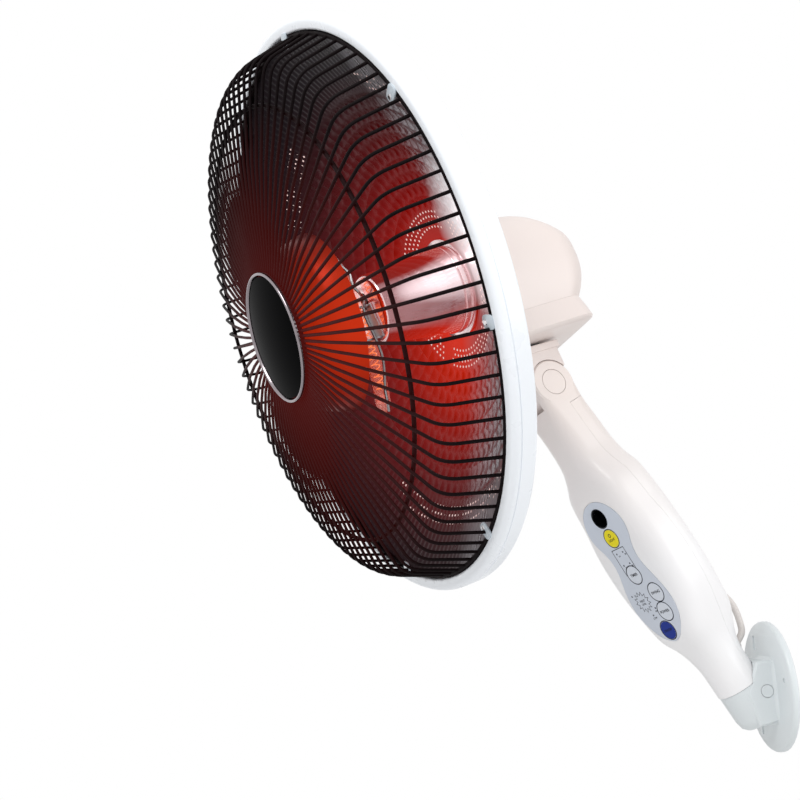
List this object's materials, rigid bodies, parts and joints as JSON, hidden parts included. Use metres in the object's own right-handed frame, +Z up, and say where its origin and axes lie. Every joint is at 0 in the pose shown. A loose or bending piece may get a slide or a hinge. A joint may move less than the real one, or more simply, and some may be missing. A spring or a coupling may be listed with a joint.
{
  "type": "parabolic heater",
  "caption": "Wall-mounted electric heater: a parabolic dish with a wire guard on a swinging, tilting neck, on an inclined arm with keys that turns in a round wall plate.",
  "frame": {"origin": "centre of the wall plate's back face", "axes": "+Z up, +Y into the wall, so the heater reaches out towards -Y; +X to the right of someone who faces the wall"},
  "size_m": [0.4027, 0.4013, 0.5325],
  "materials": {
    "white_shell": "smooth satin white moulding",
    "cream_shell": "smooth satin off-white moulding",
    "white_enamel": "gloss white enamel",
    "black_wire": "satin black coating",
    "black_gloss": "polished black",
    "chrome": "bright chrome",
    "reflector": "bright rolled aluminium with pressed dimples",
    "steel": "plain steel",
    "motor_steel": "plain zinc-plated can",
    "ceramic": "matt unglazed ceramic",
    "quartz": "clear quartz",
    "filament": "glowing resistance wire",
    "overlay": "satin printed film",
    "display_key": "yellow film",
    "grey_key": "grey-blue film",
    "blue_key": "blue film",
    "board": "circuit board",
    "dark": "black moulding",
    "grey_plastic": "grey moulding",
    "rubber": "off-white flexible sheath"
  },
  "bodies": {
    "wall_bracket": {"wall_bracket": "white_shell", "retaining_pin": "steel", "pin_cover": "white_shell"},
    "arm": {"arm_front_shell": "white_shell", "arm_rear_shell": "white_shell", "control_overlay": "overlay", "receiver_window": "black_gloss", "control_board": "board", "swivel_spigot": "steel", "bridging_lead": "rubber", "lead_collar_upper": "rubber", "lead_collar_lower": "rubber", "tilt_bolt": "steel", "tilt_nut": "steel", "knuckle_cap_right": "cream_shell", "knuckle_cap_left": "cream_shell"},
    "key_display": {"key_display": "display_key"},
    "key_timer": {"key_timer": "grey_key"},
    "key_swing": {"key_swing": "grey_key"},
    "key_power": {"key_power": "grey_key"},
    "key_on_off": {"key_on_off": "blue_key"},
    "neck": {"neck_block": "cream_shell", "friction_washer_right": "dark", "friction_washer_left": "dark", "swing_shaft": "steel", "thrust_washer": "dark", "retaining_clip": "steel"},
    "head": {"swing_housing_tray": "cream_shell", "swing_housing_cover": "cream_shell", "swing_motor": "motor_steel", "swing_crank": "dark", "swing_link": "steel", "reflector": "reflector", "dish_back_shell": "white_enamel", "rim_ring": "white_enamel", "chrome_barrel": "chrome", "quartz_tube": "quartz", "heating_coil": "filament", "element_cap_upper": "quartz", "element_cap_lower": "quartz", "element_carrier": "steel", "ceramic_base": "ceramic", "element_wire_upper": "steel", "element_wire_lower": "steel", "thermal_cut_out": "dark", "guard": "black_wire", "guard_middle_ring": "black_wire", "badge": "black_gloss", "badge_bezel": "chrome", "front_cup": "reflector", "guard_clip_1": "grey_plastic", "guard_clip_2": "grey_plastic", "guard_clip_3": "grey_plastic", "guard_clip_4": "grey_plastic", "guard_clip_5": "grey_plastic", "guard_clip_6": "grey_plastic", "guard_clip_7": "grey_plastic", "guard_clip_8": "grey_plastic"}
  },
  "joints": [
    {"name": "arm_swivel", "type": "hinge", "parent": "wall_bracket", "child": "arm", "pos_m": [0, -0.0238, -0.0017], "axis": [0, -0.5, 0.866], "range_deg": [-68, 22]},
    {"name": "press_display", "type": "slide", "parent": "arm", "child": "key_display", "axis": [-0.3903, 0.8189, 0.4209], "range_m": [0, 0.0005], "stiffness_N_per_m": 900},
    {"name": "press_timer", "type": "slide", "parent": "arm", "child": "key_timer", "axis": [-0.3903, 0.8189, 0.4209], "range_m": [0, 0.0005], "stiffness_N_per_m": 900},
    {"name": "press_swing", "type": "slide", "parent": "arm", "child": "key_swing", "axis": [-0.3903, 0.8189, 0.4209], "range_m": [0, 0.0005], "stiffness_N_per_m": 900},
    {"name": "press_power", "type": "slide", "parent": "arm", "child": "key_power", "axis": [-0.3903, 0.8189, 0.4209], "range_m": [0, 0.0005], "stiffness_N_per_m": 900},
    {"name": "press_on_off", "type": "slide", "parent": "arm", "child": "key_on_off", "axis": [-0.3903, 0.8189, 0.4209], "range_m": [0, 0.0005], "stiffness_N_per_m": 900},
    {"name": "head_tilt", "type": "hinge", "parent": "arm", "child": "neck", "pos_m": [-0.00141, -0.15093, 0.22512], "axis": [0.9205, 0.3384, 0.1954], "range_deg": [-20, 15]},
    {"name": "head_swing", "type": "hinge", "parent": "neck", "child": "head", "pos_m": [-0.00141, -0.15093, 0.22512], "axis": [-0.0783, -0.3301, 0.9407], "range_deg": [-30, 40]}
  ]
}
